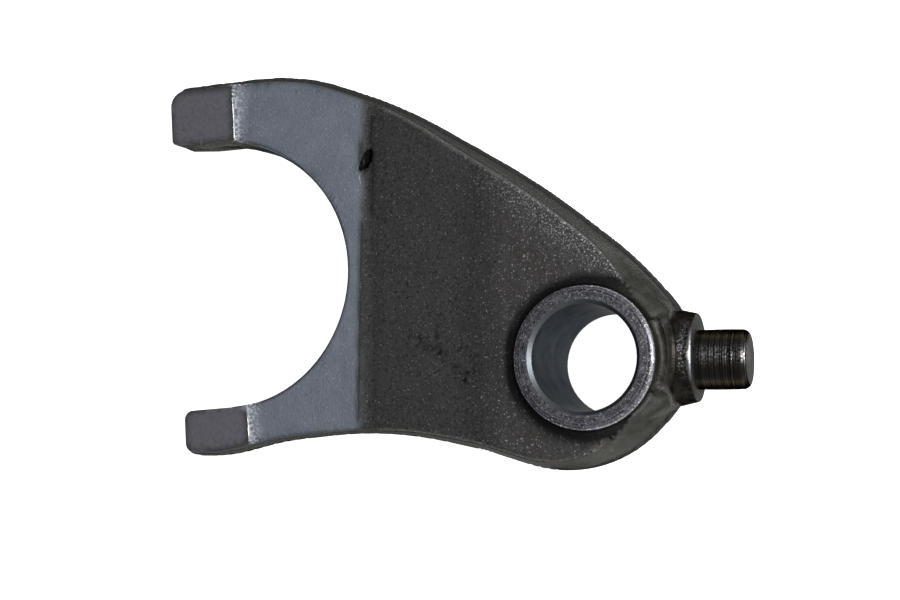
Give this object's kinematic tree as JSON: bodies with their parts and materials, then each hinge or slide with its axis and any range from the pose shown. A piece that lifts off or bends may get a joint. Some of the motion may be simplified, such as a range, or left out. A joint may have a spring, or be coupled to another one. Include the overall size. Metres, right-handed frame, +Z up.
{
  "type": "shift fork",
  "caption": "Forged gearbox shift fork: bored hub with a side guide pin, a web rising to it, and a thin blade with a half-round jaw between ground claws.",
  "frame": {"origin": "where the guide pin's axis crosses the rod bore's, in the middle of the hub", "axes": "+Z up the rod bore, +X out along the guide pin, jaw opening towards -X"},
  "size_m": [0.0856, 0.0565, 0.0188],
  "materials": {
    "forged_steel": "blasted forging skin with ground claws and turned pin"
  },
  "bodies": {
    "root": {"shift_fork": "forged_steel"}
  },
  "joints": []
}
